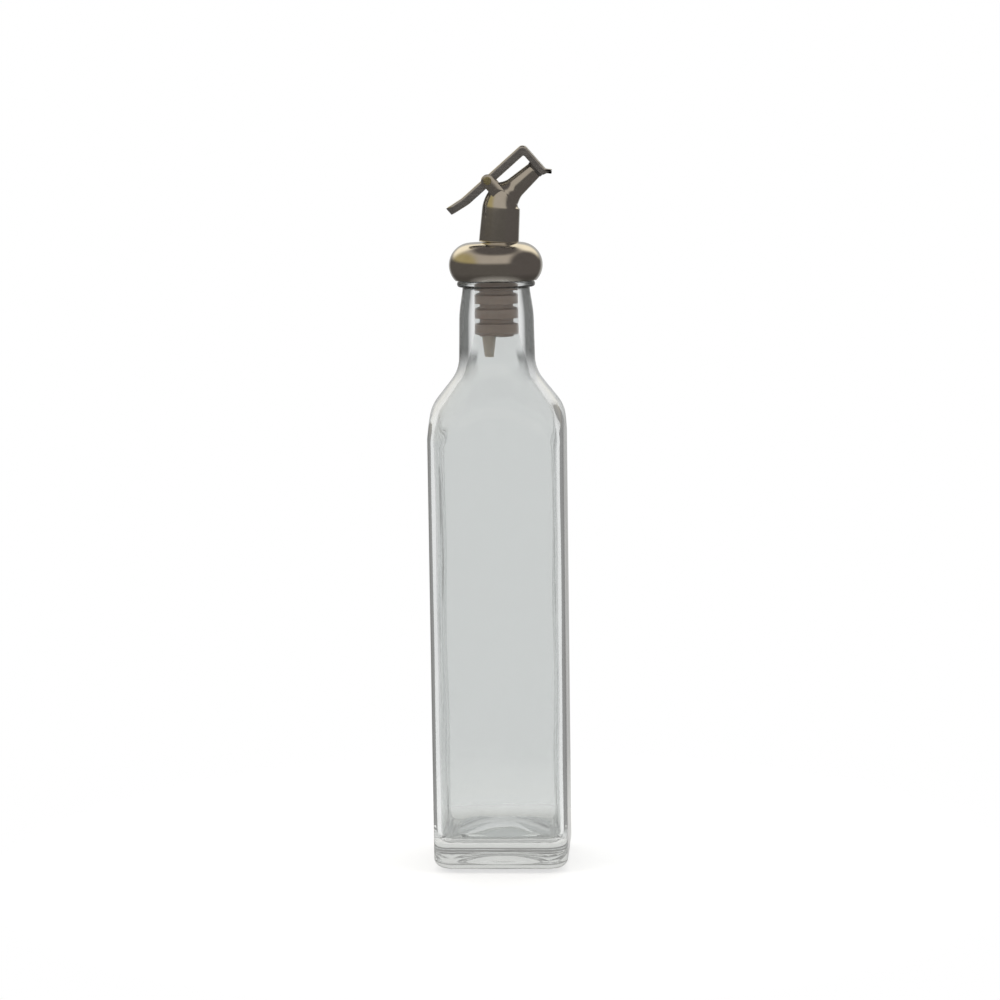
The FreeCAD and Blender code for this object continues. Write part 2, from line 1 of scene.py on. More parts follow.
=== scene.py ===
# %% [markdown]
# # An oil bottle with a flap pourer
#
# The real thing is a square bottle of clear moulded glass with a long sloping shoulder.  A soft ribbed
# stopper sits in its neck, a fat polished collar caps the mouth, and a bent metal spout rises from the
# collar.  A pressed steel lever turns on a small pin, and its own weight keeps the spout's mouth shut.
#
# The construction comes in as a fixed frame.  Here every shape that a soft highlight or the bending of
# light would betray is worked out again as a smooth surface, and every piece gets its finish.

# %% Load the frame
import math

import bmesh
import bpy
import numpy as np
from mathutils import Matrix, Vector


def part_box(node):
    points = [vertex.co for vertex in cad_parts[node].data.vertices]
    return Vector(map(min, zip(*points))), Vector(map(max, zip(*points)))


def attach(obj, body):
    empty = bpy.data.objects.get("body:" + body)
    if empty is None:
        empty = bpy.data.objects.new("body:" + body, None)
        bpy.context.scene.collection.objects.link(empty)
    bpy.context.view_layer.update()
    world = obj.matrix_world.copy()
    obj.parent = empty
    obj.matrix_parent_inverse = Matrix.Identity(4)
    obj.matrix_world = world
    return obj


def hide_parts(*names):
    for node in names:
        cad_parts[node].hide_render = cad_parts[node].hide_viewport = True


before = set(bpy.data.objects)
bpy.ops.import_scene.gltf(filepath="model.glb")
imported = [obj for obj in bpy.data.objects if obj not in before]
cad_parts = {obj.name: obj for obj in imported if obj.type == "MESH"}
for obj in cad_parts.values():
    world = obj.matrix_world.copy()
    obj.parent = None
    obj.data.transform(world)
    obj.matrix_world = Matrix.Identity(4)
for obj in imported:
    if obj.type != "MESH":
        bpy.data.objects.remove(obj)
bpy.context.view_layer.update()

MM = 0.001

# %% [markdown]
# ## The camera
#
# The eye stands close to the height of the pourer, so the collar is seen level and the base is seen a
# little from above.  A camera could be turned by hand, but here it is placed by the few numbers that
# one would name aloud: distance, height, a small step to the right, and a slight tilt.

# %% Camera
CAMERA_DISTANCE = 1.2
CAMERA_HEIGHT = 0.304
CAMERA_STEP_RIGHT = math.radians(3.4)
CAMERA_LOOK_DOWN = math.radians(7.0)
CAMERA_TILT = math.radians(0.79)
CAMERA_LENS = 101.5
CAMERA_AIM_LEFT = math.radians(-0.02)


def make_camera():
    """Stand at the named distance and height, look down by the named angle, then tilt about the view."""
    data = bpy.data.cameras.new("camera")
    data.lens = CAMERA_LENS
    camera = bpy.data.objects.new("camera", data)
    bpy.context.scene.collection.objects.link(camera)
    place = Vector((
        CAMERA_DISTANCE * math.sin(CAMERA_STEP_RIGHT), -CAMERA_DISTANCE * math.cos(CAMERA_STEP_RIGHT),
        CAMERA_HEIGHT))
    heading = CAMERA_STEP_RIGHT + CAMERA_AIM_LEFT
    turned = (
        Matrix.Rotation(heading, 4, "Z")
        @ Matrix.Rotation(math.pi / 2 - CAMERA_LOOK_DOWN, 4, "X")
        @ Matrix.Rotation(-CAMERA_TILT, 4, "Z"))
    camera.matrix_world = Matrix.Translation(place) @ turned
    bpy.context.scene.camera = camera
    return camera


camera = make_camera()
print("camera at", [round(v, 3) for v in camera.location])

# %% [markdown]
# ## Surfaces from grids
#
# Every new piece is a sheet of points indexed by two parameters.  Closed rings along one parameter and
# a stack of them along the other make tubes, bottles and beads.  One helper turns such a block of
# numbers into a mesh, joins it round where it closes, and fills a pole where a ring shrinks to a point.


# %% Grid helper
SAME_POINT = 2e-7


def grid_mesh(name, points, start_cap=False, end_cap=False):
    """Mesh of a block of points shaped (rows, columns, 3), in metres.

    Face (i, j) joins points (i, j), (i, j+1), (i+1, j+1) and (i+1, j), and the last column joins the
    first.  A cap closes the first or last row with a fan to the row's middle.  Points that meet are
    then joined, and where the enclosed volume comes out negative, every face is turned round.
    """
    rows, columns = points.shape[:2]
    index = np.arange(rows * columns).reshape(rows, columns)
    following = np.roll(index, -1, axis=1)
    quads = np.stack([index[:-1], following[:-1], following[1:], index[1:]], axis=-1).reshape(-1, 4)
    vertices = points.reshape(-1, 3)
    faces = [quads]
    if start_cap:
        middle = np.full(columns, len(vertices))
        vertices = np.vstack([vertices, points[0].mean(axis=0)])
        faces.append(np.stack([following[0], index[0], middle], axis=-1))
    if end_cap:
        middle = np.full(columns, len(vertices))
        vertices = np.vstack([vertices, points[-1].mean(axis=0)])
        faces.append(np.stack([index[-1], following[-1], middle], axis=-1))
    mesh = bpy.data.meshes.new(name)
    mesh.from_pydata(vertices.tolist(), [], [face for block in faces for face in block.tolist()])
    work = bmesh.new()
    work.from_mesh(mesh)
    bmesh.ops.remove_doubles(work, verts=work.verts, dist=SAME_POINT)
    if work.calc_volume(signed=True) < 0:
        bmesh.ops.reverse_faces(work, faces=work.faces)
    work.to_mesh(mesh)
    work.free()
    piece = bpy.data.objects.new(name, mesh)
    bpy.context.scene.collection.objects.link(piece)
    mesh.polygons.foreach_set("use_smooth", np.ones(len(mesh.polygons), bool))
    mesh.update()
    print(f"{name}: {len(mesh.vertices)} points, {len(mesh.polygons)} faces")
    return piece


def turned(name, radius, height, steps=128, middle=(0.0, 0.0), poles=(False, False)):
    """A profile of radii and heights turned about an upright axis: x = r cos a, y = r sin a."""
    angle = np.linspace(0, 2 * np.pi, steps, endpoint=False)
    radius = np.asarray(radius)[:, None]
    points = np.stack([
        middle[0] + radius * np.cos(angle),
        middle[1] + radius * np.sin(angle),
        np.repeat(np.asarray(height)[:, None], steps, axis=1),
    ], axis=-1)
    return grid_mesh(name, points, start_cap=poles[0], end_cap=poles[1])


def finish_piece(piece, body, slot, material, *nodes):
    """Give a piece its material, its body and the nodes that it stands for."""
    corners = np.array(piece.bound_box) / MM
    print(f"  {piece.name} box in mm", corners.min(axis=0).round(1), corners.max(axis=0).round(1))
    piece.data.materials.clear()
    piece.data.materials.append(material)
    if nodes:
        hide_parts(*nodes)
    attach(piece, body)
    return piece


# %% [markdown]
# ## Finishes
#
# A finish is more than a colour.  Polished metal carries a fine haze and a few hairlines, plastic has a
# faint mottling from the mould, and glass carries painted shade where the eye meets it at a glancing
# angle, partly for the more glass it looks through and partly for the dim surroundings seen through its
# edges.  Small helpers keep each material to the few nodes that say this.


# %% Material helpers
def new_material(name):
    """An empty node material with its principled shader."""
    material = bpy.data.materials.new(name)
    material.use_nodes = True
    nodes = material.node_tree.nodes
    return material, nodes, material.node_tree.links, nodes["Principled BSDF"]


def noise_at(nodes, links, scale, stretch=(1, 1, 1), detail=4.0):
    """Noise on the piece's own coordinates, stretched along an axis for brushed or drawn surfaces."""
    where = nodes.new("ShaderNodeTexCoord")
    mapping = nodes.new("ShaderNodeMapping")
    mapping.inputs["Scale"].default_value = stretch
    noise = nodes.new("ShaderNodeTexNoise")
    noise.inputs["Scale"].default_value = scale
    noise.inputs["Detail"].default_value = detail
    noise.inputs["Roughness"].default_value = 0.55
    links.new(where.outputs["Object"], mapping.inputs["Vector"])
    links.new(mapping.outputs["Vector"], noise.inputs["Vector"])
    return noise.outputs["Fac"]


def ramp(nodes, links, source, *stops):
    """A colour ramp through (position, colour) stops."""
    node = nodes.new("ShaderNodeValToRGB")
    elements = node.color_ramp.elements
    while len(elements) < len(stops):
        elements.new(0.5)
    for element, (position, colour) in zip(elements, stops):
        element.position = position
        element.color = (*colour, 1.0)
    links.new(source, node.inputs["Fac"])
    return node.outputs["Color"]


def span(nodes, links, source, low, high):
    """Map the middle of a noise, where nearly all of its values lie, onto low to high."""
    node = nodes.new("ShaderNodeMapRange")
    node.inputs["From Min"].default_value = 0.3
    node.inputs["From Max"].default_value = 0.7
    node.inputs["To Min"].default_value = low
    node.inputs["To Max"].default_value = high
    links.new(source, node.inputs["Value"])
    return node.outputs["Result"]


def between(nodes, links, source, low, high):
    """How far a value has come from low to high, eased at both ends and held at 0 and 1."""
    node = nodes.new("ShaderNodeMapRange")
    node.interpolation_type = "SMOOTHSTEP"
    node.inputs["From Min"].default_value = low
    node.inputs["From Max"].default_value = high
    links.new(source, node.inputs["Value"])
    return node.outputs["Result"]


def blend(nodes, links, share, first, second):
    """A colour on the way from first to second; each is a colour or another node's output."""
    node = nodes.new("ShaderNodeMix")
    node.data_type = "RGBA"
    links.new(share, node.inputs[0])
    for socket, colour in ((node.inputs[6], first), (node.inputs[7], second)):
        if isinstance(colour, tuple):
            socket.default_value = (*colour, 1.0)
        else:
            links.new(colour, socket)
    return node.outputs[2]


def facing_share(nodes):
    """0 where a surface faces the eye, up to 1 where it turns edge on."""
    node = nodes.new("ShaderNodeLayerWeight")
    node.inputs["Blend"].default_value = 0.5
    return node.outputs["Facing"]


def height_up(nodes, links):
    """The height of the shaded point above the table, in metres."""
    where = nodes.new("ShaderNodeTexCoord")
    split = nodes.new("ShaderNodeSeparateXYZ")
    links.new(where.outputs["Object"], split.inputs["Vector"])
    return split.outputs["Z"]


def distance_out(nodes, links):
    """How far the shaded point is from the bottle's axis, in metres."""
    where = nodes.new("ShaderNodeTexCoord")
    flat = nodes.new("ShaderNodeVectorMath")
    flat.operation = "MULTIPLY"
    flat.inputs[1].default_value = (1, 1, 0)
    links.new(where.outputs["Object"], flat.inputs[0])
    length = nodes.new("ShaderNodeVectorMath")
    length.operation = "LENGTH"
    links.new(flat.outputs["Vector"], length.inputs[0])
    return length.outputs["Value"]


def bump(nodes, links, shader, source, depth):
    """Fine relief of a stated depth in metres."""
    node = nodes.new("ShaderNodeBump")
    node.inputs["Strength"].default_value = 1.0
    node.inputs["Distance"].default_value = depth
    links.new(source, node.inputs["Height"])
    links.new(node.outputs["Normal"], shader.inputs["Normal"])


# %% [markdown]
# ### Metal and plastic
#
# Polished chrome, pressed steel and brass are one recipe with different numbers: a full mirror whose
# colour and haze wander a little, and hairlines a fraction of a thousandth of a millimetre deep.  One
# even colour would look like a toy, and a painted picture of scratches would be the same on every part.
# The stopper, its breather and the pad are the other recipe: a mottled colour under a soft skin, into
# which some light sinks.


# %% Metal and plastic recipes
def metal(name, dark, light, rough, grain, stretch=(1, 1, 1), relief=0.4e-6, underside=None):
    """Polished or brushed metal: colour, haze and hairlines all wander with the grain.

    underside gives the two heights between which painted shade darkens the colour downwards to three
    quarters.
    """
    material, nodes, links, shader = new_material(name)
    shader.inputs["Metallic"].default_value = 1.0
    broad = noise_at(nodes, links, grain / 8)
    fine = noise_at(nodes, links, grain, stretch, detail=6.0)
    colour = ramp(nodes, links, broad, (0.3, dark), (0.7, light))
    # painted shade: below the given heights the colour darkens to three quarters of the dark end
    if underside:
        painted_underside_shade = tuple(0.75 * part for part in dark)
        share = between(nodes, links, height_up(nodes, links), *underside)
        colour = blend(nodes, links, share, colour, painted_underside_shade)
    links.new(colour, shader.inputs["Base Color"])
    links.new(span(nodes, links, fine, *rough), shader.inputs["Roughness"])
    bump(nodes, links, shader, fine, relief)
    return material


def plastic(name, dark, light, rough, grain, relief=4e-6, glow=0.0):
    """Moulded plastic or rubber: a faint mottling in the colour and a soft skin."""
    material, nodes, links, shader = new_material(name)
    mottle = noise_at(nodes, links, grain)
    links.new(ramp(nodes, links, mottle, (0.3, dark), (0.7, light)), shader.inputs["Base Color"])
    links.new(span(nodes, links, mottle, *rough), shader.inputs["Roughness"])
    shader.inputs["Subsurface Weight"].default_value = glow
    shader.inputs["Subsurface Radius"].default_value = (1.0, 0.8, 0.6)
    shader.inputs["Subsurface Scale"].default_value = 0.002
    bump(nodes, links, shader, mottle, relief)
    return material


# %% [markdown]
# ### Glass
#
# Clear glass is seldom a colour of its own.  It shows grey at the rounded sides of the thick neck, along
# the body's upright edges and in the solid base, partly because the eye looks through much glass there
# and partly because those edges bend the dim surroundings into view.  A volume inside the glass could
# give the first, but it is slow and comes out grainy, so both are painted shade: the tint of the surface
# is deepened wherever it turns away from the eye, and each height of the bottle has its own depth.

# %% Glass recipe
# painted shade: the glancing and base tints stand partly for thicker glass and partly for dim surroundings
# seen through the edges
GLASS_FACE_ON = (0.782, 0.796, 0.792)
GLASS_GLANCING_SHADE = (0.34, 0.35, 0.34)
NECK_SIDE_SHADE = (0.045, 0.047, 0.045)
BASE_FACE_ON = (0.62, 0.63, 0.61)
BASE_GLANCING_SHADE = (0.24, 0.25, 0.24)
WALL_LIGHT = (0.33, 0.33, 0.325)
WALL_BOUNCE = 4.0
BODY_ENDS, NECK_STARTS = 0.206, 0.222
BODY_STARTS, BASE_ENDS = 0.018, 0.009
BORE_ENDS, SKIN_STARTS = 0.0108, 0.0120


def light_in_wall(nodes, links):
    """1 at the fourth bounce of light inside the glass, else 0.

    A wall of glass leads light along itself in dozens of bounces and lets it out grey at the far edge.
    The glass gives that grey here, so that no edge turns black because the bounces are cut off.
    """
    path = nodes.new("ShaderNodeLightPath")
    many = nodes.new("ShaderNodeMath")
    many.operation = "COMPARE"
    links.new(path.outputs["Glossy Depth"], many.inputs[0])
    many.inputs[1].default_value = WALL_BOUNCE
    many.inputs[2].default_value = 0.5
    inside = nodes.new("ShaderNodeNewGeometry")
    both = nodes.new("ShaderNodeMath")
    both.operation = "MULTIPLY"
    links.new(many.outputs[0], both.inputs[0])
    links.new(inside.outputs["Backfacing"], both.inputs[1])
    return both.outputs[0]


def clear_glass():
    """Clear glass whose tint deepens at a glancing angle, and in the thick neck and base.

    That deepening is painted shade, partly for the thicker glass and partly for the dim surroundings
    seen through the edges.  The neck's wall is twice as thick as the body's, so its outside darkens much
    sooner towards its sides, and its bore not at all.
    """
    material, nodes, links, shader = new_material("clear glass")
    shader.inputs["Transmission Weight"].default_value = 1.0
    shader.inputs["IOR"].default_value = 1.5
    shader.inputs["Roughness"].default_value = 0.0
    facing = facing_share(nodes)
    height = height_up(nodes, links)
    # painted shade: each tint darkens as the surface turns edge on
    body = ramp(nodes, links, facing, (0.0, GLASS_FACE_ON), (0.55, GLASS_FACE_ON), (0.95, GLASS_GLANCING_SHADE))
    skin = ramp(nodes, links, facing, (0.24, GLASS_FACE_ON), (0.36, NECK_SIDE_SHADE), (0.95, NECK_SIDE_SHADE))
    outside = between(nodes, links, distance_out(nodes, links), BORE_ENDS, SKIN_STARTS)
    neck = blend(nodes, links, outside, GLASS_FACE_ON, skin)
    base = ramp(nodes, links, facing, (0.0, BASE_FACE_ON), (0.50, BASE_FACE_ON), (0.95, BASE_GLANCING_SHADE))
    tint = blend(nodes, links, between(nodes, links, height, BODY_ENDS, NECK_STARTS), body, neck)
    tint = blend(nodes, links, between(nodes, links, height, BODY_STARTS, BASE_ENDS), tint, base)
    links.new(tint, shader.inputs["Base Color"])
    glow = blend(nodes, links, light_in_wall(nodes, links), (0.0, 0.0, 0.0), WALL_LIGHT)
    links.new(glow, shader.inputs["Emission Color"])
    shader.inputs["Emission Strength"].default_value = 1.0
    ripple = noise_at(nodes, links, 60.0, (1, 1, 0.35), detail=1.0)
    bump(nodes, links, shader, ripple, 12e-6)
    return material


# %% [markdown]
# ### This bottle's own finishes
#
# Each finish is one call of its recipe: the two ends between which its colour wanders, the two ends of
# its haze, and the size of its grain.  The collar is chrome like the spout, with painted shade darkening
# the colour of its underside.  The lever's hairlines run along the strip, so they are
# stretched that way.

# %% Finishes of this bottle
glass_finish = clear_glass()
chrome_finish = metal("polished chrome", (0.76, 0.73, 0.67), (0.84, 0.81, 0.75), (0.10, 0.17), 900.0)
# painted shade on the collar: its colour darkens towards the underside of the bead
collar_finish = metal("collar chrome", (0.76, 0.72, 0.66), (0.84, 0.80, 0.74), (0.10, 0.17), 900.0,
                      underside=(0.2545, 0.2520))
steel_finish = metal("pressed steel", (0.62, 0.61, 0.60), (0.72, 0.71, 0.70), (0.16, 0.30), 1400.0,
                     stretch=(0.12, 1, 1), relief=0.8e-6)
brass_finish = metal("brass pin", (0.75, 0.66, 0.36), (0.85, 0.76, 0.44), (0.20, 0.34), 1600.0)
stopper_finish = plastic("stopper plastic", (0.34, 0.25, 0.20), (0.39, 0.30, 0.24),
                         (0.40, 0.55), 500.0, glow=0.25)
tube_finish = plastic("breather plastic", (0.56, 0.49, 0.41), (0.64, 0.57, 0.48), (0.35, 0.50), 400.0,
                      glow=0.35)
rubber_finish = plastic("pad rubber", (0.045, 0.040, 0.036), (0.075, 0.068, 0.060), (0.6, 0.8), 900.0, 8e-6)
print("materials", sorted(m.name for m in bpy.data.materials))

# %% [markdown]
# ## The glass
#
# The body is a square prism with rounded corners, and a turned shoulder cuts it to a round neck.  Where
# the two meet, each flat panel ends in an arch.  A boolean would do, but light bends through every
# small facet of glass, so the wall is one smooth sheet: for each direction and height, its distance
# from the axis is the lesser of the square's and the shoulder's, blended softly where they cross.
# The sheet starts under the base, climbs the outside, rolls over the mouth and goes down the inside.

# %% Glass sizes
glass_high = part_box("glass_bottle")[1]
HALF = glass_high.x
TOP = glass_high.z
CORNER = 8.5 * MM
WALL = 3.0 * MM
RING = 1.2 * MM
HEEL = 4.0 * MM
INNER_CORNER = 5.5 * MM
INNER_HEEL = 5.3 * MM
FLOOR = 12.0 * MM
FLOOR_DOME = 5.0 * MM
SHOULDER_HEIGHT = TOP - 70.9 * MM
SHOULDER_TAN = math.tan(math.radians(38.5))
SHOULDER_ARC = 16.0 * MM
ARCH_BLEND = 3.4 * MM
WAIST_HEIGHT = TOP - 41.2 * MM
WAIST = 16.2 * MM
FLARE_HEIGHT = TOP - 20.5 * MM
FLARE = 15.8 * MM
NECK_HEIGHT = TOP - 10.6 * MM
NECK = 14.3 * MM
LIP_LOW = TOP - 9.5 * MM
LIP_HIGH = TOP - 6.9 * MM
LIP_ROOT = 14.9 * MM
LIP_SWELL = 1.7 * MM
MOUTH_RADIUS = 13.5 * MM
BORE_BOTTOM = TOP - 27.5 * MM
BORE = 9.4 * MM
WAIST_INSIDE = 12.6 * MM
NECK_BLEND = 0.45 * MM
HOLLOW = 18.0 * MM
HOLLOW_HEIGHT = 2.4 * MM
STANDING_RING = 21.5 * MM
WANDER = 0.16 * MM
AROUND = 224
print("glass is", round(2 * HALF / MM, 1), "mm wide and", round(TOP / MM, 1), "mm tall")


def directions(steps):
    """Angles round the bottle, packed closer at its four corners: a = u + 1/8 sin 4u."""
    even = np.linspace(0, 2 * np.pi, steps, endpoint=False)
    return even + 0.125 * np.sin(4 * even)


def square_reach(angle, half, corner):
    """Distance from the axis to a rounded square: half / cos on a side, a circle about the corner."""
    folded = np.abs((angle + np.pi / 4) % (np.pi / 2) - np.pi / 4)
    flat = half / np.cos(folded)
    centre = half - corner
    along = centre * (np.cos(folded) + np.sin(folded))
    across = centre * (np.cos(folded) - np.sin(folded))
    bend = along + np.sqrt(np.maximum(corner ** 2 - across ** 2, 0))
    return np.where(half * np.tan(folded) > centre, bend, flat)


def soft_least(one, other, reach):
    """The lesser of two lengths, rounded off where they come within reach of each other."""
    near = np.maximum(reach - np.abs(one - other), 0) / reach
    return np.minimum(one, other) - near ** 2 * reach / 4


def shoulder_profile(height, start_radius, waist_radius, top_height, top_radius):
    """Radius of the turned shoulder at each height: a cone, an arc tangent to it, then the neck's taper."""
    taper = (waist_radius - top_radius) / (top_height - WAIST_HEIGHT)
    cone_at_waist = start_radius - (WAIST_HEIGHT - SHOULDER_HEIGHT) * SHOULDER_TAN
    drop = (waist_radius - cone_at_waist) / (SHOULDER_TAN - taper)
    corner_height = WAIST_HEIGHT - drop
    corner_radius = waist_radius + drop * taper
    cone_tilt, neck_tilt = math.atan(SHOULDER_TAN), math.atan(taper)
    reach = SHOULDER_ARC * math.tan((cone_tilt - neck_tilt) / 2)
    low = corner_height - reach * math.cos(cone_tilt)
    high = corner_height + reach * math.cos(neck_tilt)
    middle_radius = corner_radius + reach * math.sin(cone_tilt) + SHOULDER_ARC * math.cos(cone_tilt)
    middle_height = low + SHOULDER_ARC * math.sin(cone_tilt)
    arc = middle_radius - np.sqrt(np.maximum(SHOULDER_ARC ** 2 - (height - middle_height) ** 2, 0))
    cone = corner_radius + (corner_height - height) * SHOULDER_TAN
    neck = corner_radius - (height - corner_height) * taper
    return np.where(height < low, cone, np.where(height < high, arc, neck))


# %% Glass surface
def glass_surface():
    """Rows of rings from under the base, up the outside, over the mouth and down the inside."""
    angle = directions(AROUND)
    rings = []

    def add(radius, height):
        """Append rings given as radii shaped (rows, around) and their heights."""
        radius = np.broadcast_to(radius, (len(height), AROUND))
        rings.append(np.stack([
            radius * np.cos(angle), radius * np.sin(angle),
            np.repeat(height[:, None], AROUND, axis=1)], axis=-1))

    # under the base: the push-up, then the ring that it stands on
    out = np.linspace(0.02, 1, 26)
    add((HOLLOW * out)[:, None], HOLLOW_HEIGHT * (1 - out ** 2.7))
    around_ring = np.linspace(0, np.pi, 15)[1:]
    across = HOLLOW + (STANDING_RING + RING - HOLLOW) * (1 - np.cos(around_ring)) / 2
    add(across[:, None], RING * (1 - np.sin(around_ring)) * (around_ring > np.pi / 2))
    # out to the heel: the circle turns into the rounded square
    reach = square_reach(angle, HALF - HEEL, CORNER - HEEL)
    share = np.linspace(0, 1, 10)[1:-1, None]
    add(across[-1] * (1 - share) + reach * share, np.full(8, RING))
    bend = np.linspace(0, np.pi / 2, 14)
    grown = HEEL * np.sin(bend)[:, None]
    heel = [square_reach(angle, HALF - HEEL + g, CORNER - HEEL + g) for g in grown[:, 0]]
    add(np.array(heel), RING + HEEL * (1 - np.cos(bend)))
    # the upright sides, the arches and the shoulder up to the neck
    height = np.concatenate([
        np.linspace(RING + HEEL, SHOULDER_HEIGHT - 16 * MM, 24)[1:],
        np.linspace(SHOULDER_HEIGHT - 16 * MM, NECK_HEIGHT, 116)[1:]])
    start = (HALF - CORNER) * math.sqrt(2) + CORNER
    turned_radius = shoulder_profile(height, start, WAIST, FLARE_HEIGHT, FLARE)
    flare = FLARE + (FLARE_HEIGHT - height) * (FLARE - NECK) / (NECK_HEIGHT - FLARE_HEIGHT)
    closing_in = soft_least(turned_radius, flare, NECK_BLEND)
    turned_radius = np.where(height > WAIST_HEIGHT, closing_in, turned_radius)[:, None]
    add(soft_least(square_reach(angle, HALF, CORNER)[None, :], turned_radius, ARCH_BLEND), height)
    # the lip ring and the step up to the mouth
    lip = np.linspace(-np.pi / 2, np.pi / 2, 13)
    lip_middle, lip_half = (LIP_LOW + LIP_HIGH) / 2, (LIP_HIGH - LIP_LOW) / 2
    add(np.full((1, 1), NECK), np.array([LIP_LOW - 0.1 * MM]))
    add((LIP_ROOT + LIP_SWELL * np.cos(lip) ** 0.6)[:, None], lip_middle + lip_half * np.sin(lip))
    add(np.full((6, 1), MOUTH_RADIUS), np.linspace(LIP_HIGH + 0.1 * MM, TOP - 0.6 * MM, 6))
    add(np.array([[13.3], [12.9], [10.0], [9.6], [9.4]]) * MM,
        TOP - np.array([0.18, 0.0, 0.0, 0.15, 0.5]) * MM)
    # down the bore, out under the shoulder, down the inside
    height = np.concatenate([
        np.linspace(TOP - 2 * MM, BORE_BOTTOM + 4 * MM, 10),
        np.linspace(BORE_BOTTOM + 4 * MM, SHOULDER_HEIGHT - 16 * MM, 96)[1:],
        np.linspace(SHOULDER_HEIGHT - 16 * MM, FLOOR + INNER_HEEL, 24)[1:]])
    start_inside = start - WALL / math.cos(math.atan(SHOULDER_TAN))
    turned_radius = shoulder_profile(height, start_inside, WAIST_INSIDE, BORE_BOTTOM, BORE)
    turned_radius = -soft_least(-turned_radius, np.full(len(height), -BORE), NECK_BLEND)[:, None]
    inside = soft_least(square_reach(angle, HALF - WALL, INNER_CORNER)[None, :], turned_radius, ARCH_BLEND)
    # blown glass settles unevenly: the inside wanders by a few tenths of a millimetre
    wander = WANDER * (
        np.sin(3 * angle[None, :] + 38 * height[:, None] + 0.7)
        + 0.6 * np.sin(7 * angle[None, :] - 61 * height[:, None] + 2.1)
        + 0.4 * np.sin(13 * angle[None, :] + 95 * height[:, None]))
    settle = np.clip((TOP - 30 * MM - height) / (30 * MM), 0, 1)[:, None]
    add(inside - wander * settle, height)
    # the heel inside and the domed floor
    bend = np.linspace(0, np.pi / 2, 18)[1:]
    shrunk = INNER_HEEL * (1 - np.cos(bend))
    heel = [square_reach(angle, HALF - WALL - g, max(INNER_CORNER - g, 0.3 * MM)) for g in shrunk]
    fade = (1 - bend / (np.pi / 2))[:, None]
    add(np.array(heel) - (wander * settle)[-1:] * fade, FLOOR + INNER_HEEL * (1 - np.sin(bend)))
    share = np.linspace(1, 0.02, 30)[1:]
    add(share[:, None] * np.array(heel)[-1:], FLOOR + FLOOR_DOME * (1 - share ** 2))
    return np.concatenate(rings)


bottle = grid_mesh("clear_bottle", glass_surface(), start_cap=True, end_cap=True)
finish_piece(bottle, "bottle", "clear_glass", glass_finish, "glass_bottle")

# %% [markdown]
# ## The collar
#
# A bead of polished metal, pressed over the mouth.  Its shine shows every flat, so its outside is a
# true arc, from a flat underside up to the hole that holds the spout's foot, and a plain bore goes over
# the neck.  The hole is set off to one side.  It could be cut with a boolean, which leaves a ragged rim
# in a mirror, so the arc simply stops where it meets the hole, at its own height in each direction.

# %% Collar
collar_low, collar_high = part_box("collar")
BEAD = 9.5 * MM
BEAD_MIDDLE = TOP - 0.2 * MM
BEAD_RING = collar_high.x - BEAD
FLANGE_TOP = TOP + 1.5 * MM
COLLAR_BORE = 13.8 * MM
FOOT_X = 1.3 * MM
FOOT_RADIUS = 8.7 * MM
FOOT_HOLE = FOOT_RADIUS + 0.05 * MM
RIM_EDGE = 0.2 * MM


def collar_surface():
    """The bead's arc from its flat underside round the outside up to the spout's hole, then down it.

    The hole is set off to the spout's side.  In a direction a its rim lies at
    shift cos a + sqrt(hole^2 - (shift sin a)^2) from the bottle's axis, and there the arc stops.
    """
    angle = np.linspace(0, 2 * np.pi, 192, endpoint=False)
    rim = FOOT_X * np.cos(angle) + np.sqrt(FOOT_HOLE ** 2 - (FOOT_X * np.sin(angle)) ** 2)
    low = -math.asin((BEAD_MIDDLE - collar_low.z) / BEAD)
    high = np.arccos(np.clip((rim + RIM_EDGE - BEAD_RING) / BEAD, -1, 1))
    turn = low + (high - low) * np.linspace(0, 1, 72)[:, None]
    radius = BEAD_RING + BEAD * np.cos(turn)
    height = BEAD_MIDDLE + BEAD * np.sin(turn)
    # over the rim, down the hole, out under the top, down the bore and out to the start
    level = np.ones(len(angle))
    radius = np.vstack([radius, rim, rim, COLLAR_BORE * level, COLLAR_BORE * level, radius[:1]])
    height = np.vstack([
        height, height[-1] - RIM_EDGE, FLANGE_TOP * level, FLANGE_TOP * level, height[:1], height[:1]])
    return np.stack([radius * np.cos(angle), radius * np.sin(angle), height], axis=-1)


collar = grid_mesh("collar_bead", collar_surface())
finish_piece(collar, "bottle", "polished_chrome", collar_finish, "collar")

# %% [markdown]
# ## The spout
#
# The spout is drawn tube: it leaves its foot nearly upright, bends towards the pour and narrows into a
# straight tube cut off square.  A curve with a bevel could stand for it, but its taper would be hard to
# steer.  So it is a circle carried along that line, whose radius follows a table of five stations with
# eased corners, once outside and back again inside.

# %% Spout
FOOT_TOP = FLANGE_TOP + 7.7 * MM
MOUTH = np.array([16.8 * MM, FOOT_TOP + 30.3 * MM])
TUBE_ANGLE = math.radians(41.0)
LEAN = math.radians(85.5)
START = np.array([1.45 * MM, FOOT_TOP])
BEND_RADIUS = 8.6 * MM
RADII = np.array([8.5, 8.0, 6.4, 4.6, 3.6]) * MM
NECKING = 2.8 * MM
SPOUT_WALL = 0.9 * MM


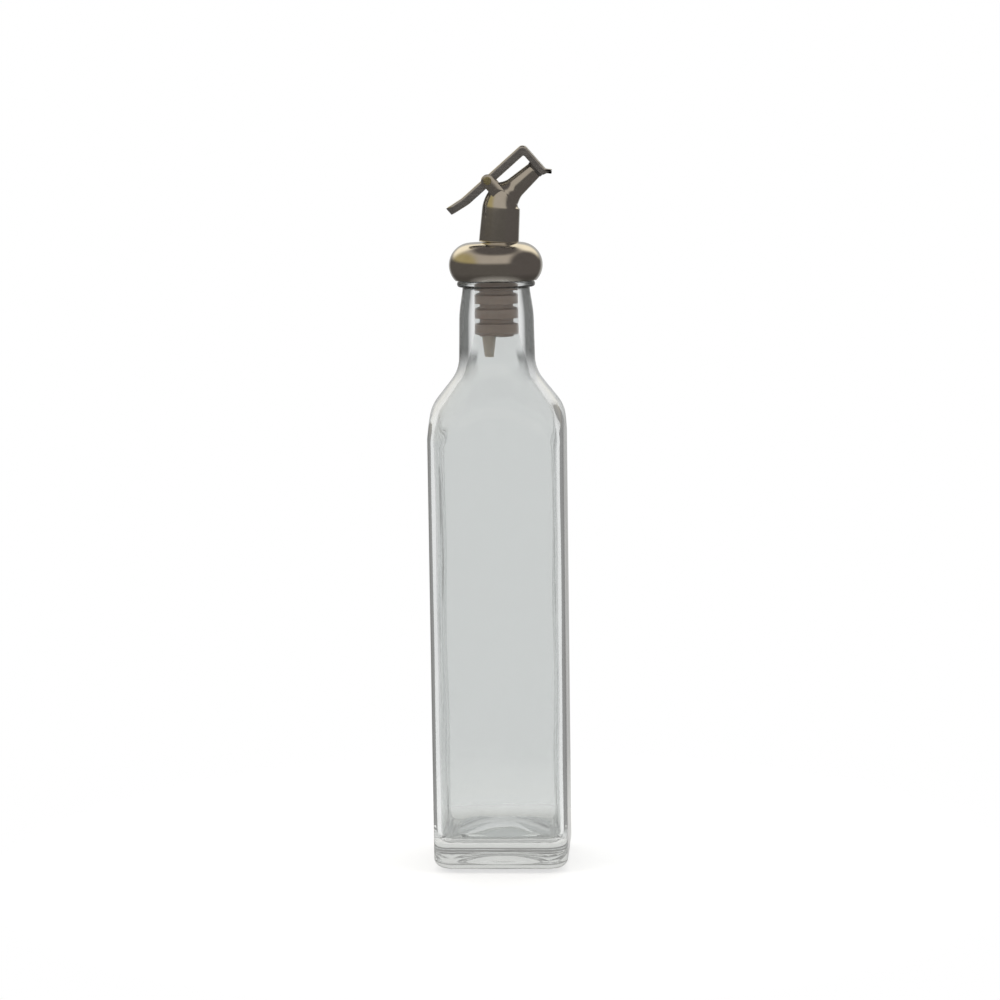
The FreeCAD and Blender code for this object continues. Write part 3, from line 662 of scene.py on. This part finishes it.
def spout_line():
    """The middle line as points (x, z): a leaning straight, one arc, and the straight to the mouth."""
    up = np.array([math.cos(LEAN), math.sin(LEAN)])
    along = np.array([math.cos(TUBE_ANGLE), math.sin(TUBE_ANGLE)])
    way = MOUTH - START
    climb = (way[0] * along[1] - way[1] * along[0]) / (up[0] * along[1] - up[1] * along[0])
    reach = BEND_RADIUS * math.tan((LEAN - TUBE_ANGLE) / 2)
    first = START + (climb - reach) * up
    middle = first + BEND_RADIUS * np.array([math.sin(LEAN), -math.cos(LEAN)])
    lean = np.linspace(LEAN, TUBE_ANGLE, 36)
    arc = middle + BEND_RADIUS * np.stack([-np.sin(lean), np.cos(lean)], axis=-1)
    rise = START + np.linspace(0, 1, 24)[:-1, None] * (first - START)
    run = arc[-1] + np.linspace(0, 1, 40)[1:, None] * (MOUTH - arc[-1])
    line = np.vstack([rise, arc, run])
    slope = np.concatenate([np.full(23, LEAN), lean, np.full(39, TUBE_ANGLE)])
    return line, slope, len(rise), len(rise) + len(arc) - 1


def spout_surface():
    """The outside from foot to mouth, the rounded cut, the inside back down, and across to the start."""
    line, slope, bend_start, bend_end = spout_line()
    walked = np.concatenate([[0], np.cumsum(np.linalg.norm(np.diff(line, axis=0), axis=1))])
    stations = [0, walked[bend_start], walked[bend_end], walked[bend_end] + NECKING, walked[-1]]
    radius = np.interp(walked, stations, RADII)
    # ease the corners of that table by running a short average along the line
    ends = np.concatenate([np.full(4, radius[0]), radius, radius[-1] - 0.05 * MM * np.arange(1, 5)])
    radius = np.convolve(ends, np.ones(9) / 9, mode="valid")
    order = np.concatenate([np.arange(len(line)), [len(line) - 1] * 3, np.arange(len(line))[::-1]])
    rim = radius[-1] - SPOUT_WALL * np.array([0.2, 0.5, 0.8])
    ring_radius = np.concatenate([radius, rim, (radius - SPOUT_WALL)[::-1]])
    forward = np.zeros(len(order))
    forward[len(line):len(line) + 3] = np.array([0.12, 0.18, 0.12]) * MM
    angle = np.linspace(0, 2 * np.pi, 96, endpoint=False)
    tilt = slope[order]
    centre = line[order] + forward[:, None] * np.stack([np.cos(tilt), np.sin(tilt)], axis=-1)
    outward = ring_radius[:, None] * np.cos(angle)
    x = centre[:, :1] + outward * np.sin(tilt)[:, None]
    z = centre[:, 1:] - outward * np.cos(tilt)[:, None]
    y = ring_radius[:, None] * np.sin(angle)
    points = np.stack([x, y, z], axis=-1)
    return np.concatenate([points, points[:1]])


spout = grid_mesh("spout_neck", spout_surface())
finish_piece(spout, "bottle", "polished_chrome", chrome_finish, "spout")

# %% [markdown]
# ### The foot of the spout
#
# A short upright ring, set flush into the collar, holds the spout.  It is a profile turned about the
# middle of the collar's hole, with a rounded top edge that catches the light under the leaning part.

# %% Foot
FOOT_EDGE = 0.45 * MM
FOOT_SEAT = 7.4 * MM
FOOT_BORE = 6.7 * MM


def foot_profile():
    """Up the outside, over a rounded edge, in to the spout and down the hollow."""
    edge = np.linspace(0, np.pi / 2, 9)
    radius = np.concatenate([
        [FOOT_RADIUS, FOOT_RADIUS], FOOT_RADIUS - FOOT_EDGE * (1 - np.cos(edge)),
        [FOOT_SEAT, FOOT_BORE, FOOT_BORE, FOOT_RADIUS]])
    height = np.concatenate([
        [FLANGE_TOP, FOOT_TOP - 2 * MM], FOOT_TOP - FOOT_EDGE * (1 - np.sin(edge)),
        [FOOT_TOP, FOOT_TOP - 0.5 * MM, FLANGE_TOP, FLANGE_TOP]])
    return radius, height


foot = turned("spout_foot", *foot_profile(), steps=160, middle=(FOOT_X, 0.0))
finish_piece(foot, "bottle", "polished_chrome", chrome_finish)

# %% [markdown]
# ### Hinge lugs
#
# Two small ears stand on the tube and carry the pin.  Each is a flat plate with a round top, drawn in
# the tube's own directions: back along the tube and up square to it.  A slab with a bevel modifier
# would do as well, but a stack of grown outlines gives the eased edges at once.

# %% Lugs
PIN_BACK = 17.5 * MM
PIN_UP = 9.6 * MM
LUG_RADIUS = 2.7 * MM
LUG_INSIDE = 5.05 * MM
LUG_THICK = 1.0 * MM
LUG_ROOT = 1.0 * MM


def from_mouth(back, up, side):
    """Points given about the spout's mouth, set in the bottle's directions."""
    x = MOUTH[0] + back * math.cos(TUBE_ANGLE) - up * math.sin(TUBE_ANGLE)
    z = MOUTH[1] + back * math.sin(TUBE_ANGLE) + up * math.cos(TUBE_ANGLE)
    return np.stack(np.broadcast_arrays(x, side, z), axis=-1)


def lug_surface(side):
    """Rings of a stadium outline from one face to the other, with eased edges, then closed."""
    turn = np.linspace(0, np.pi, 25)
    outline_back = LUG_RADIUS * np.concatenate([
        np.cos(turn), np.full(8, -1.0), np.linspace(-1, 1, 9)[1:-1], np.full(8, 1.0)])
    outline_up = np.concatenate([
        LUG_RADIUS * np.sin(turn), np.linspace(0, LUG_ROOT - PIN_UP, 9)[1:],
        np.full(7, LUG_ROOT - PIN_UP), np.linspace(LUG_ROOT - PIN_UP, 0, 9)[:-1]])
    middle = (LUG_ROOT - PIN_UP) / 2
    rows = np.array([0.0, 0.0, 0.15, 0.85, 1.0, 1.0])
    grown = np.array([0.0, 0.9, 1.0, 1.0, 0.93, 0.0])
    back = -PIN_BACK + grown[:, None] * outline_back
    up = PIN_UP + middle + grown[:, None] * (outline_up - middle)
    across = side * (LUG_INSIDE + rows * LUG_THICK)[:, None]
    return from_mouth(back, up, across)


lugs = [grid_mesh(name, lug_surface(side)) for name, side in (("lug_far", 1), ("lug_near", -1))]
for lug in lugs:
    finish_piece(lug, "bottle", "polished_chrome", chrome_finish)

# %% [markdown]
# ## The lever flap
#
# One strip of steel, pressed into a channel: a thumb rest behind, a long back over the pin, a sharp
# bend at the top and a front plate that covers the mouth.  Its sides are the web's edges folded down.
# The surface runs along the strip one way and round the folded section, outside and inside, the other
# way.  A single sheet with a thickness modifier could do, but it throws spikes at the sharp bend.

# %% Flap
FLAP_WIDTH = 9.6 * MM
FLAP_UP = 11.5 * MM
FLAP_FRONT = 4.0 * MM
FLAP_DEPTH = 3.7 * MM
FRONT_DEPTH = 3.0 * MM
FLAP_DROP = 3.9 * MM
TAIL = 38.6 * MM
TAIL_BEND = 8.0 * MM
TAIL_LIFT = 1.2 * MM
TAIL_DEPTH = 3.5 * MM
FLAP_LIP = 1.2 * MM
SHEET = 0.8 * MM
FOLD = 1.1 * MM
THUMB_ROUND = 2.9 * MM
OUTER_BENDS = [12.0 * MM, 2.2 * MM, 1.6 * MM]
INNER_BENDS = [12.0 * MM, 1.1 * MM, 0.9 * MM]
FLAP_ROWS = 150


def rounded_path(corners, bends, steps):
    """Points along straight lines joined by tangent arcs, each corner with its own radius."""
    corners = np.asarray(corners, float)
    pieces = [corners[:1]]
    for index in range(1, len(corners) - 1):
        before = corners[index - 1] - corners[index]
        after = corners[index + 1] - corners[index]
        before, after = before / np.linalg.norm(before), after / np.linalg.norm(after)
        half = math.acos(np.clip(before @ after, -1, 1)) / 2
        bend = bends[index - 1]
        inward = (before + after) / np.linalg.norm(before + after)
        middle = corners[index] + inward * bend / math.sin(half)
        first = corners[index] + before * bend / math.tan(half) - middle
        last = corners[index] + after * bend / math.tan(half) - middle
        share = np.linspace(0, 1, 16)[:, None]
        arc = first * (1 - share) + last * share
        pieces.append(middle + arc / np.linalg.norm(arc, axis=1)[:, None] * bend)
    pieces.append(corners[-1:])
    line = np.vstack(pieces)
    walked = np.concatenate([[0], np.cumsum(np.linalg.norm(np.diff(line, axis=0), axis=1))])
    even = np.linspace(0, walked[-1], steps)
    return np.stack([np.interp(even, walked, line[:, k]) for k in (0, 1)], axis=-1)


def flap_surface():
    """Rings round the folded section, over its outer skin and back under its inner one, tail to tip.

    A point lies a share of the way down from the outer line to the inner line, and across from it.
    The first and last rings are folded flat, which closes the ends of the sheet.
    """
    outer = rounded_path([
        (-TAIL, FLAP_UP + TAIL_LIFT), (TAIL_BEND - TAIL, FLAP_UP), (FLAP_FRONT, FLAP_UP),
        (FLAP_FRONT, FLAP_LIP - FLAP_DROP), (FLAP_FRONT + FLAP_LIP + 0.5 * MM, -FLAP_DROP - 0.6 * FLAP_LIP)],
        OUTER_BENDS, FLAP_ROWS)
    inner = rounded_path([
        (-TAIL, FLAP_UP + TAIL_LIFT - TAIL_DEPTH), (TAIL_BEND - TAIL, FLAP_UP - FLAP_DEPTH),
        (FLAP_FRONT - FRONT_DEPTH, FLAP_UP - FLAP_DEPTH), (FLAP_FRONT - FRONT_DEPTH, -FLAP_DROP),
        (FLAP_FRONT + FLAP_LIP, -FLAP_DROP - FLAP_LIP)],
        INNER_BENDS, FLAP_ROWS)
    bend = np.linspace(0, np.pi / 2, 8)
    # one half of the section: the share of the way down a side, and the place across
    side_down = np.concatenate([np.linspace(1, 0.36, 8), np.full(8, 0.0), [0.0]])
    turn_down = np.concatenate([np.zeros(8), FOLD * (1 - np.sin(bend)), [0.0]])
    across = np.concatenate([
        np.full(8, FLAP_WIDTH / 2), FLAP_WIDTH / 2 - FOLD * (1 - np.cos(bend)), [FLAP_WIDTH / 6]])
    side_down = np.concatenate([side_down, side_down[::-1]])
    turn_down = np.concatenate([turn_down, turn_down[::-1]])
    across = np.concatenate([-across, across[::-1]])
    # the same section one sheet further in: sides move towards the middle, the web moves down
    inset_across = np.clip(across, SHEET - FLAP_WIDTH / 2, FLAP_WIDTH / 2 - SHEET)
    inset_down = turn_down + SHEET * (side_down == 0)
    way = inner - outer
    depth = np.linalg.norm(way, axis=1)[:, None]
    walked = np.concatenate([[0], np.cumsum(np.linalg.norm(np.diff(outer, axis=0), axis=1))])
    closing = np.clip((THUMB_ROUND - walked) / THUMB_ROUND, 0, 1)[:, None]
    narrow = (FLAP_WIDTH / 2 - THUMB_ROUND * (1 - np.sqrt(1 - closing ** 2))) / (FLAP_WIDTH / 2)

    def skin(place, drop):
        """Points of one skin: down from the outer line towards the inner one, and across."""
        down = side_down * depth + drop
        back = outer[:, :1] + way[:, :1] / depth * down
        up = outer[:, 1:] + way[:, 1:] / depth * down
        return from_mouth(back, up, place * narrow)

    outside = skin(across, turn_down)
    inside = skin(inset_across, inset_down)[:, ::-1]
    loop = np.concatenate([outside, inside], axis=1)
    tail_end = np.concatenate([outside[:1], outside[:1, ::-1]], axis=1)
    tip_end = np.concatenate([outside[-1:], outside[-1:, ::-1]], axis=1)
    return np.concatenate([tail_end, loop, tip_end])


flap = grid_mesh("lever_flap", flap_surface())
finish_piece(flap, "flap", "pressed_steel", steel_finish, "pour_flap")

# %% [markdown]
# ## Pieces that keep their shape
#
# The stopper, its breather tube, the hinge pin and the rubber pad are already right.  Their facets are
# only hidden: a copy of each is merged into one skin and shaded smooth, with its true edges kept sharp.

# %% Smooth copies
SHARP_EDGE = math.radians(32.0)
FACET_GAP = 2e-6


def smooth_copy(node, name, body, slot, material):
    """A copy of a node's mesh, merged and shaded smooth up to the sharp-edge angle."""
    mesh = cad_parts[node].data.copy()
    mesh.name = name
    piece = bpy.data.objects.new(name, mesh)
    bpy.context.scene.collection.objects.link(piece)
    work = bmesh.new()
    work.from_mesh(mesh)
    bmesh.ops.remove_doubles(work, verts=work.verts, dist=FACET_GAP)
    for face in work.faces:
        face.smooth = True
    for edge in work.edges:
        edge.smooth = edge.is_manifold and edge.calc_face_angle(0.0) < SHARP_EDGE
    work.to_mesh(mesh)
    work.free()
    print(f"{name}: {len(mesh.vertices)} points, {len(mesh.polygons)} faces")
    return finish_piece(piece, body, slot, material, node)


smooth_copy("ribbed_stopper", "ribbed_cork", "bottle", "stopper_plastic", stopper_finish)
smooth_copy("air_tube", "breather_tube", "bottle", "stopper_plastic", tube_finish)
smooth_copy("hinge_pin", "lever_pin", "bottle", "pin_brass", brass_finish)
smooth_copy("mouth_pad", "seal_pad", "flap", "pad_rubber", rubber_finish)

# %% [markdown]
# ## Studio
#
# A clear bottle is drawn by what stands around it.  The camera sees plain white, also through the
# glass.  Whatever mirrors its surroundings sees a dim room that grows paler upwards, cream behind and
# gold on the left, and that gives polished metal its dark and pale bands.  Panels of card could stand
# there, but a few blends of direction in the world cost nothing and cast no shadow.

# %% World
ROOM_LOW = (0.094, 0.086, 0.078)
ROOM_HIGH = (0.42, 0.38, 0.33)
ROOM_RIGHT = (0.095, 0.085, 0.080)
ROOM_LEFT = (0.38, 0.32, 0.16)
ROOM_BEHIND = (1.05, 0.96, 0.76)
ROOM_BACKDROP = (0.46, 0.46, 0.45)


def make_world():
    """White for the camera and through glass; for mirrors, a dim room with a bright wall behind.

    A mirror looks in a direction (x, y, z).  It meets dimness up to the horizon, paler light above it
    in front, cream above it behind, gold above it on the left, and dimness on the right and overhead.
    Straight behind, where a surface seen edge on mirrors, stands a grey backdrop.
    """
    world = bpy.data.worlds.new("studio")
    bpy.context.scene.world = world
    world.use_nodes = True
    nodes, links = world.node_tree.nodes, world.node_tree.links
    background = nodes["Background"]
    path = nodes.new("ShaderNodeLightPath")
    where = nodes.new("ShaderNodeTexCoord")
    split = nodes.new("ShaderNodeSeparateXYZ")
    links.new(where.outputs["Generated"], split.inputs["Vector"])
    x, y, z = split.outputs
    front = blend(nodes, links, between(nodes, links, z, 0.06, 0.34), ROOM_LOW, ROOM_HIGH)
    rear = blend(nodes, links, between(nodes, links, z, 0.08, 0.36), ROOM_LOW, ROOM_BEHIND)
    mirror = blend(nodes, links, between(nodes, links, y, 0.25, 0.60), front, rear)
    mirror = blend(nodes, links, between(nodes, links, y, 0.80, 0.95), mirror, ROOM_BACKDROP)
    side = blend(nodes, links, between(nodes, links, z, 0.10, 0.30), ROOM_LOW, ROOM_LEFT)
    mirror = blend(nodes, links, between(nodes, links, x, -0.55, -0.85), mirror, side)
    mirror = blend(nodes, links, between(nodes, links, x, 0.48, 0.72), mirror, ROOM_RIGHT)
    mirror = blend(nodes, links, between(nodes, links, z, 0.74, 0.90), mirror, ROOM_RIGHT)
    chosen = blend(nodes, links, path.outputs["Is Glossy Ray"], (0.86, 0.86, 0.86), mirror)
    seen = nodes.new("ShaderNodeMath")
    seen.operation = "MAXIMUM"
    links.new(path.outputs["Is Camera Ray"], seen.inputs[0])
    links.new(path.outputs["Is Transmission Ray"], seen.inputs[1])
    through = nodes.new("ShaderNodeMath")
    through.operation = "MAXIMUM"
    links.new(seen.outputs[0], through.inputs[0])
    links.new(path.outputs["Transmission Depth"], through.inputs[1])
    final = blend(nodes, links, through.outputs[0], chosen, (1.0, 1.0, 1.0))
    links.new(final, background.inputs["Color"])
    background.inputs["Strength"].default_value = 1.0
    return world


# %% [markdown]
# ### Soft boxes
#
# Two warm square lamps hang left and right, and one above.  They light the pieces, but no mirror and
# no glass shows them, because a lamp caught in the round neck would burn a white stripe into it.


# %% Soft boxes
def soft_box(name, place, size, power, colour):
    """A square area lamp that faces the bottle's shoulder."""
    data = bpy.data.lights.new(name, "AREA")
    data.size = size
    data.energy = power
    data.color = colour
    lamp = bpy.data.objects.new(name, data)
    lamp.location = place
    aim = Vector((0, 0, 0.2)) - Vector(place)
    lamp.rotation_euler = aim.to_track_quat("-Z", "Y").to_euler()
    lamp.visible_glossy = False
    lamp.visible_transmission = False
    bpy.context.scene.collection.objects.link(lamp)
    return lamp


make_world()
lamps = [
    soft_box("left box", (-0.9, -0.5, 0.9), 0.5, 5.0, (1.0, 0.93, 0.80)),
    soft_box("right box", (0.9, -0.35, 0.8), 0.4, 3.5, (1.0, 0.96, 0.88)),
    soft_box("top box", (0.0, 0.3, 1.3), 0.7, 5.0, (1.0, 0.98, 0.94)),
]
print("lamps", [lamp.name for lamp in lamps])

# %% [markdown]
# ## The floor
#
# A round of pale board carries the contact shadow.  It fades into the white of the room before its rim,
# so nothing but the shadow shows where it ends.

# %% Floor
FLOOR_REACH = 0.45
FLOOR_HEIGHT = -0.0003
FADE_START = 0.03
CLEAR_AT_BOTTLE = 0.6


def make_floor():
    """A flat disc whose shading gives way to clear towards its rim."""
    radius = np.linspace(0.001, FLOOR_REACH, 6)
    floor = turned("floor", radius, np.full(6, FLOOR_HEIGHT), steps=64, poles=(True, False))
    material, nodes, links, shader = new_material("pale board")
    shader.inputs["Base Color"].default_value = (0.97, 0.97, 0.97, 1.0)
    shader.inputs["Roughness"].default_value = 0.9
    shader.inputs["Specular IOR Level"].default_value = 0.0
    where = nodes.new("ShaderNodeTexCoord")
    length = nodes.new("ShaderNodeVectorMath")
    length.operation = "LENGTH"
    links.new(where.outputs["Object"], length.inputs[0])
    fade = nodes.new("ShaderNodeMapRange")
    fade.inputs["From Min"].default_value = FADE_START
    fade.inputs["From Max"].default_value = FLOOR_REACH * 0.5
    fade.inputs["To Min"].default_value = CLEAR_AT_BOTTLE
    links.new(length.outputs["Value"], fade.inputs["Value"])
    clear = nodes.new("ShaderNodeBsdfTransparent")
    mix = nodes.new("ShaderNodeMixShader")
    links.new(fade.outputs["Result"], mix.inputs[0])
    links.new(shader.outputs[0], mix.inputs[1])
    links.new(clear.outputs[0], mix.inputs[2])
    links.new(mix.outputs[0], nodes["Material Output"].inputs["Surface"])
    floor.data.materials.append(material)
    return floor


make_floor()
bpy.context.scene.view_settings.view_transform = "Standard"
